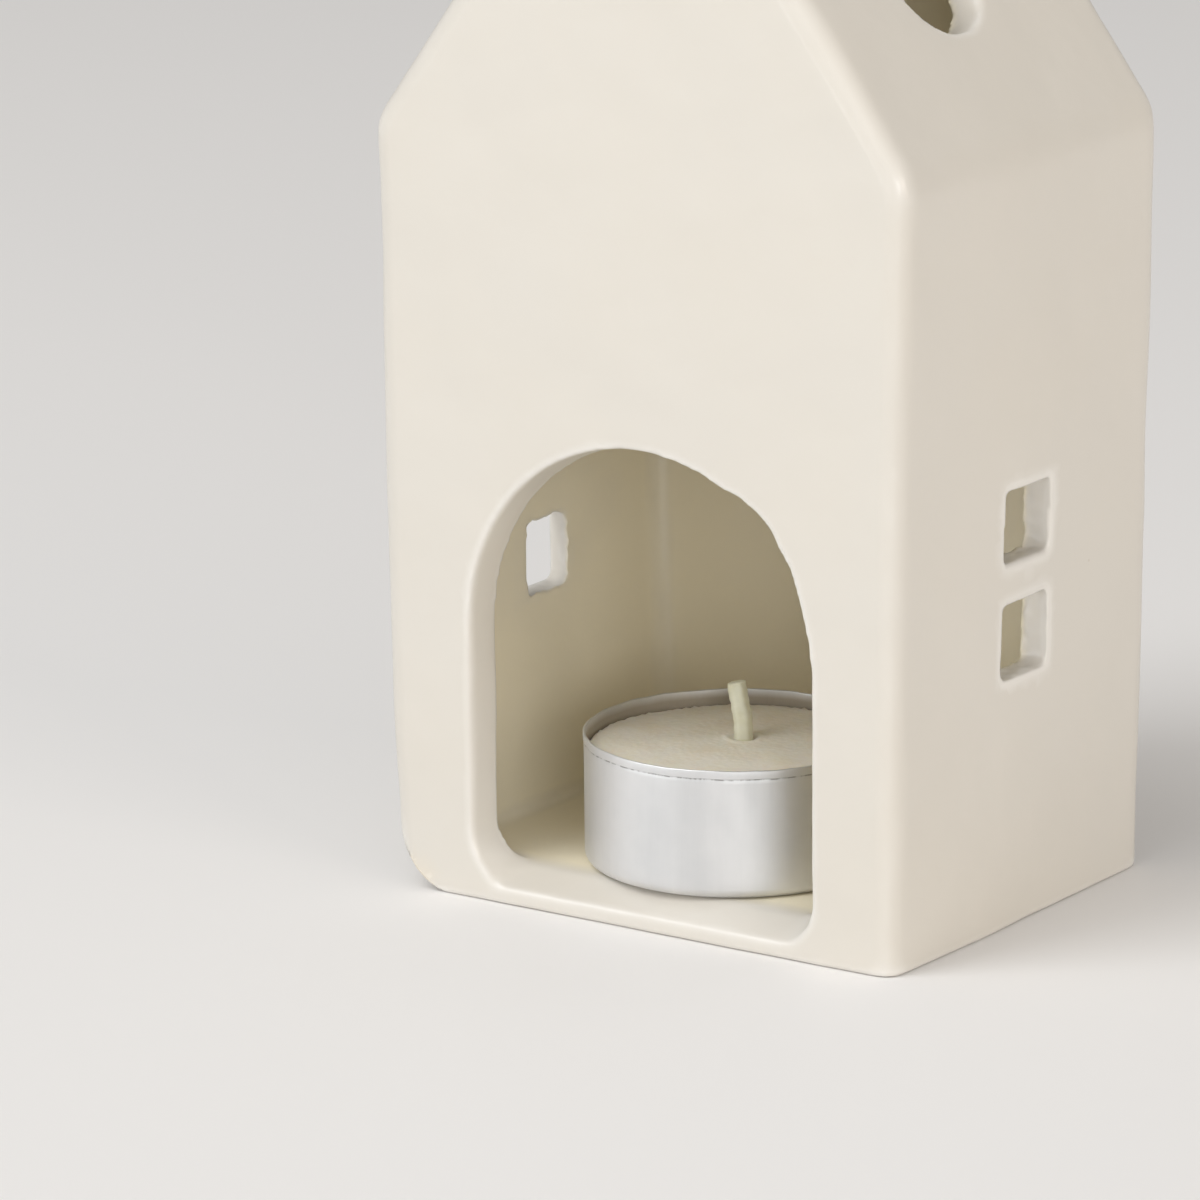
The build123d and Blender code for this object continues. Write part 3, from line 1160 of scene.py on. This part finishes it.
@dataclass
class Tealight:
    """The tealight: cup, cake of wax, wick and the wick's tab. Sizes in millimetres."""

    cup_wall: float = 0.25
    foot_round: float = 1.2
    foot_ramp: float = 1.6
    foot_flat: float = 0.9
    foot_rise: float = 0.2
    rim_band: float = 1.15
    rim_out: float = 0.10
    crease: float = 0.13
    dish: float = 0.55
    hollow: float = 0.25
    crease_depth: float = 0.04
    dent: float = 0.12
    dent_turns: float = 3.1
    rim_ripple: float = 0.05
    ripple_turns: float = 14.0
    rim_wave: float = 0.09
    wave_turns: float = 6.0
    wax_gap: float = 0.2
    wax_edge: float = 0.5
    skin_depth: float = 0.05
    crumb_depth: float = 0.28
    crumb_band: float = 1.8
    crumb_scale: float = 1.6
    swell: float = 0.16
    swell_scale: float = 0.22
    wax_skin: float = 1.2
    wick_radius: float = 1.15
    wick_lean: float = 12.5
    wick_upright: float = 2.0
    wick_bend: float = 0.5
    wick_step: float = 0.25
    tip_edge: float = 0.2
    tip_rise: float = 0.12
    tip_inset: float = 0.35
    plait_depth: float = 0.07
    plait_climb: float = 2.6
    wick_lump: float = 0.12
    hole_radius: float = 1.5
    pit_depth: float = 0.45
    pit_sharpness: float = 7.0
    lip_height: float = 0.14
    lip_out: float = 0.75
    lip_width: float = 0.5
    steps: int = 192

    def __post_init__(self) -> None:
        """Take the tealight's place and main sizes from the frame."""
        cup_low, cup_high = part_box("tealight_cup")
        wax_low, wax_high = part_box("wax_cake")
        tab_low, tab_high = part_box("wick_sustainer")
        wick_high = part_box("wick")[1]
        self.axis = Vector(((cup_low.x + cup_high.x) / 2, (cup_low.y + cup_high.y) / 2, cup_low.z))
        self.radius = (cup_high.x - cup_low.x) / 2 / MM - self.rim_out - 0.1
        self.height = (cup_high.z - cup_low.z) / MM
        self.wax_foot = (wax_low.z - cup_low.z) / MM
        self.wax_top = (wax_high.z - cup_low.z) / MM
        self.wick_foot = Vector(((tab_low.x + tab_high.x) / 2, (tab_low.y + tab_high.y) / 2, wax_low.z))
        self.wick_top = (wick_high.z - cup_low.z) / MM

    @staticmethod
    def arc(
        centre: Span, radius: float, start: float, stop: float, count: int = 6
    ) -> Profile:
        """Points along an arc of a profile, with angles in degrees from the radius axis."""
        angles = [math.radians(start + (stop - start) * i / count) for i in range(count + 1)]
        return [(centre[0] + radius * math.cos(a), centre[1] + radius * math.sin(a)) for a in angles]

    @staticmethod
    def in_metres(profile: Profile) -> Profile:
        """A profile in metres from one in millimetres."""
        return [metres(*point) for point in profile]

    def cup_profile(self) -> Profile:
        """Section of the cup, from the middle of its underside over the rim to its floor.

        Returns:
            Radius and height of each point, in millimetres.
        """
        wall, foot = self.cup_wall, self.foot_round
        bore, lip = self.radius - wall, self.radius + self.rim_out
        band = self.height - self.rim_band
        top_round = (lip - bore) / 2
        dish, hollow = self.radius * self.dish, self.hollow
        section = [(0.0, hollow), (dish, hollow)]
        section += [(self.radius - foot - self.foot_ramp, self.foot_rise)]
        section += [(self.radius - foot - self.foot_flat, 0.0)]
        section += self.arc((self.radius - foot, foot), foot, -90, 0)
        section += [(self.radius, z) for z in np.linspace(foot + 1.0, band - 0.6, 9)]
        crease = self.radius - self.crease_depth
        section += [(self.radius, band - 0.12), (crease, band - 0.03)]
        section += [(crease, band + 0.05), (lip - 0.03, band + 0.13), (lip, band + 0.5)]
        section += self.arc((bore + top_round, self.height - top_round), top_round, 0, 180, 8)
        section += [(bore, z) for z in np.linspace(band, foot + 0.6, 8)]
        section += self.arc((self.radius - foot, foot), foot - wall, 0, -90, 4)
        section += [(dish, hollow + wall), (0.0, hollow + wall)]
        return section

    def build_cup(self) -> bpy.types.Object:
        """Turn the cup, then roughen its rim and wall as a flimsy cup is.

        Returns:
            The cup.
        """
        cup = Bench.turn("cup", self.in_metres(self.cup_profile()), self.axis, self.steps)
        self.mark_cup(cup)
        points = Bench.points(cup)
        band = (self.height - self.rim_band) * MM
        for point in points:
            across = Vector((point[0] - self.axis.x, point[1] - self.axis.y, 0.0))
            if across.length < self.radius * 0.8 * MM:
                continue
            way = across.normalized()
            rise = point[2] - self.axis.z
            share = min(1.0, max(0.0, rise / band))
            spot = way * self.dent_turns + Vector((0.0, 0.0, rise / MM * 0.05))
            dent = noise.noise(spot) * self.dent * share
            if rise > band - 0.3 * MM:
                spot = way * self.ripple_turns + Vector((0.0, 0.0, 2.0))
                dent += noise.noise(spot) * self.rim_ripple
                spot = way * self.wave_turns + Vector((0.0, 0.0, 7.0))
                point[2] += noise.noise(spot) * self.rim_wave * MM
            point[:2] += np.array(way[:2]) * dent * MM
        Bench.move_points(cup, points)
        Bench.take(cup)
        bpy.ops.object.shade_smooth_by_angle(angle=math.radians(40))
        return cup

    def mark_cup(self, cup: bpy.types.Object) -> None:
        """Store where the metal faces the wax, for its film of wax and its painted brown shade, and where
        the rim is creased, for the painted shade there.

        Args:
            cup: The turned cup.
        """
        points = (Bench.points(cup) - np.array(self.axis)) / MM
        away = np.hypot(points[:, 0], points[:, 1])
        rise = points[:, 2]
        bore = self.radius - self.cup_wall + HAIR
        Bench.store(cup, "inside", (away < bore) & (rise > 1.0) & (rise < self.height - 0.3))
        band = self.height - self.rim_band
        crease = np.clip(1.0 - np.abs(rise - band) / self.crease, 0.0, 1.0)
        Bench.store(cup, "crease", crease * (away > bore + 0.05))

    def build_wax(self) -> bpy.types.Object:
        """Turn the cake of wax and crumble its skin.

        Returns:
            The wax.
        """
        radius = self.radius - self.cup_wall - self.wax_gap
        top, foot, edge = self.wax_top, self.wax_foot, self.wax_edge
        section = [(0.0, foot), (radius * 0.5, foot)]
        section += [(radius - self.foot_round, foot), (radius, foot + self.foot_round)]
        section += [(radius, z) for z in np.linspace(foot + 2.5, top - edge - 0.4, 6)]
        section += self.arc((radius - edge, top - edge), edge, 0, 90, 4)
        section += [(r, top) for r in np.linspace(radius - edge - 0.3, 0.0, 72)]
        wax = Bench.turn("wax", self.in_metres(section), self.axis, self.steps)
        points = Bench.points(wax)
        for point in points:
            rise = point[2] - self.axis.z
            if rise < (top - self.wax_skin) * MM:
                continue
            away = math.hypot(point[0] - self.axis.x, point[1] - self.axis.y) / MM
            spot = Vector(point) / MM
            crumbs = max(0.0, (away - radius + self.crumb_band) / self.crumb_band)
            rough = self.skin_depth + self.crumb_depth * crumbs
            point[2] += noise.fractal(spot * self.crumb_scale, 1.0, 2.0, 3) * rough * MM
            point[2] += noise.noise(spot * self.swell_scale) * self.swell * MM
            point[2] += self.wick_dimple(point) * MM
        Bench.move_points(wax, points)
        Bench.take(wax)
        bpy.ops.object.shade_smooth()
        return wax

    def wick_dimple(self, point: np.ndarray) -> float:
        """How far the wax lies over its level near the wick: a small pit with a raised lip.

        Args:
            point: A point of the wax, in metres.

        Returns:
            The height, in millimetres.
        """
        away = math.hypot(point[0] - self.wick_foot.x, point[1] - self.wick_foot.y) / MM
        pit = 1.0 / (1.0 + math.exp((away - self.hole_radius) * self.pit_sharpness))
        lip = math.exp(-(((away - self.hole_radius - self.lip_out) / self.lip_width) ** 2))
        return self.lip_height * lip - self.pit_depth * pit

    def wick_line(self) -> list[tuple[Vector, float]]:
        """Middle line of the wick.

        Returns:
            Points in metres, each with the lean in radians there.
        """
        lean = math.radians(self.wick_lean)
        bend = self.wax_top + self.wick_upright
        bend_from, bend_to = bend - self.wick_bend, bend + self.wick_bend
        spot, line = self.wick_foot.copy(), []
        height, step = self.wax_foot, self.wick_step
        while height < self.wick_top:
            share = min(1.0, max(0.0, (height - bend_from) / (bend_to - bend_from)))
            turn = lean * share * share * (3 - 2 * share)
            line.append((spot.copy(), turn))
            spot += Vector((-math.sin(turn), 0.0, math.cos(turn))) * step * MM
            height += step * math.cos(turn)
        return line

    def build_wick(self) -> bpy.types.Object:
        """Draw the wick up from its foot, plaited, leaning over and cut off square.

        Returns:
            The wick.
        """
        line = self.wick_line()
        Bench.clear()
        bpy.ops.mesh.primitive_circle_add(vertices=40, radius=self.wick_radius * MM, fill_type="NGON",
                                          location=line[0][0])
        wick = Bench.started("wick_stub")
        with Bench.editing(wick):
            bpy.ops.mesh.select_all(action="SELECT")
            for (here, turn), (there, turned) in zip(line, line[1:]):
                bpy.ops.mesh.extrude_region_move(TRANSFORM_OT_translate={"value": there - here})
                if turned != turn:
                    bpy.ops.transform.rotate(value=turned - turn, orient_axis="Y", center_override=there)
            bpy.ops.mesh.inset(thickness=self.tip_edge * MM)
            bpy.ops.transform.translate(value=(0, 0, self.tip_rise * MM))
            bpy.ops.mesh.inset(thickness=self.tip_inset * MM)
            bpy.ops.mesh.select_all(action="SELECT")
            bpy.ops.mesh.normals_make_consistent(inside=False)
        points = Bench.points(wick)
        for point in points:
            nearest = min(line, key=lambda place: (place[0] - Vector(point)).length_squared)[0]
            out = Vector(point) - nearest
            angle = math.atan2(out.y, out.x)
            climb = (point[2] - self.axis.z) / MM * self.plait_climb
            plait = math.sin(3 * angle + climb) * math.sin(3 * angle - climb) * self.plait_depth
            lump = noise.noise(Vector(point) / MM * 0.6) * self.wick_lump
            point += np.array(out.normalized() * (plait + lump) * MM)
        Bench.move_points(wick, points)
        Bench.take(wick)
        bpy.ops.object.shade_smooth_by_angle(angle=math.radians(50))
        return wick

    def build(self) -> dict[str, bpy.types.Object]:
        """Model the tealight's pieces.

        Returns:
            The pieces by name.
        """
        return {"cup": self.build_cup(), "wax": self.build_wax(), "wick": self.build_wick()}

    def dress(self, pieces: dict[str, bpy.types.Object]) -> None:
        """Finish the pieces and set them on their bodies.

        Args:
            pieces: The pieces by name.
        """
        looks = {
            "cup": (AluminiumFinish(axis_y=self.axis.y), Slot.CUP, Body.TEALIGHT, "tealight_cup"),
            "wax": (WaxFinish(), Slot.WAX, Body.CANDLE, "wax_cake"),
            "wick": (CottonFinish(), Slot.WICK, Body.CANDLE, "wick"),
        }
        for name, (finish, slot, body, node) in looks.items():
            piece = pieces[name]
            piece.data.materials.clear()
            piece.data.materials.append(finish.material())
            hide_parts(node)
            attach(piece, body.value)
        tab = frame["nodes"]["wick_sustainer"]
        tab.data.materials.clear()
        tab.data.materials.append(TinnedFinish().material())


@dataclass(frozen=True)
class Lamp:
    """A soft square lamp, aimed at the house. Sizes in metres."""

    name: str
    place: Point
    side: float
    watts: float
    colour: Colour = (1.0, 1.0, 1.0)

    def hang(self, target: Vector) -> None:
        """Put the lamp in the scene.

        Args:
            target: The point it faces.
        """
        lamp = bpy.data.lights.new(self.name, "AREA")
        lamp.size = self.side
        lamp.energy = self.watts
        lamp.color = self.colour
        holder = bpy.data.objects.new(self.name, lamp)
        holder.location = self.place
        holder.rotation_euler = (target - Vector(self.place)).to_track_quat("-Z", "Y").to_euler()
        bpy.context.scene.collection.objects.link(holder)


@dataclass
class Studio:
    """Floor, light and the photograph's camera. Angles in degrees, camera lengths in millimetres."""

    azimuth: float = 34.85
    elevation: float = 14.77
    roll: float = -0.57
    distance: float = 908.6
    target: Point = (-25.87, 0.13, 32.10)
    focal_pixels: float = 7124.0
    sensor: float = 36.0
    floor_side: float = 6.0
    floor_colour: Colour = (0.88, 0.87, 0.865)
    sky_colour: Colour = (1.0, 0.975, 0.94)
    sky_strength: float = 0.40
    lamp_aim: Point = (0.0, 0.0, 0.07)
    lamps: tuple[Lamp, ...] = (
        Lamp("window", (-1.10, -1.80, 0.46), 1.2, 9.0, (0.97, 0.99, 1.0)),
        Lamp("high", (-0.70, -1.22, 1.48), 1.0, 9.0, (0.97, 0.99, 1.0)),
        Lamp("low", (1.45, -1.50, 0.33), 0.9, 10.0),
        Lamp("fill", (1.95, -0.45, 0.62), 1.1, 11.0, (1.0, 0.90, 0.79)),
        Lamp("top", (-0.3, -0.85, 1.8), 1.2, 10.0),
    )

    def lay_floor(self) -> None:
        """A plain pale floor under everything."""
        Bench.clear()
        bpy.ops.mesh.primitive_plane_add(size=self.floor_side)
        floor = Bench.started("floor")
        shader = Shader("pale_floor")
        shader.set(Base_Color=self.floor_colour, Roughness=0.65, Specular_IOR_Level=0.2)
        floor.data.materials.append(shader.material)

    def light(self) -> None:
        """Soft lamps in front, on the right and above, with a pale sky all round."""
        world = bpy.data.worlds.new("pale_sky")
        bpy.context.scene.world = world
        world.use_nodes = True
        sky = world.node_tree.nodes["Background"]
        sky.inputs["Color"].default_value = (*self.sky_colour, 1.0)
        sky.inputs["Strength"].default_value = self.sky_strength
        for lamp in self.lamps:
            lamp.hang(Vector(self.lamp_aim))

    def aim_camera(self) -> None:
        """Set the camera where the photograph was taken from."""
        turn, rise = math.radians(self.azimuth), math.radians(self.elevation)
        back = Vector((math.sin(turn) * math.cos(rise), -math.cos(turn) * math.cos(rise), math.sin(rise)))
        right = Vector((math.cos(turn), math.sin(turn), 0.0))
        frame_axes = Matrix((right, back.cross(right), back)).transposed()
        spin = Matrix.Rotation(math.radians(self.roll), 3, "Z")
        camera = bpy.data.cameras.new("camera")
        camera.sensor_width = self.sensor
        camera.lens = self.focal_pixels * self.sensor / IMAGE_SIDE
        camera.clip_start, camera.clip_end = 0.01, 50.0
        holder = bpy.data.objects.new("camera", camera)
        stand = Matrix.Translation((Vector(self.target) + back * self.distance) * MM)
        holder.matrix_world = stand @ (frame_axes @ spin).to_4x4()
        bpy.context.scene.collection.objects.link(holder)
        bpy.context.scene.camera = holder

    def build(self) -> None:
        """Set up the studio."""
        self.lay_floor()
        self.light()
        self.aim_camera()
        bpy.context.scene.view_settings.view_transform = "Standard"


def main() -> None:
    """Build the house, the tealight and the studio."""
    logging.basicConfig(level=logging.INFO, format="%(name)s: %(message)s")
    noise.seed_set(SEED)
    house = House()
    walls = house.build()
    house.dress(walls)
    tealight = Tealight()
    pieces = tealight.build()
    tealight.dress(pieces)
    Studio().build()


if __name__ == "__main__":
    main()
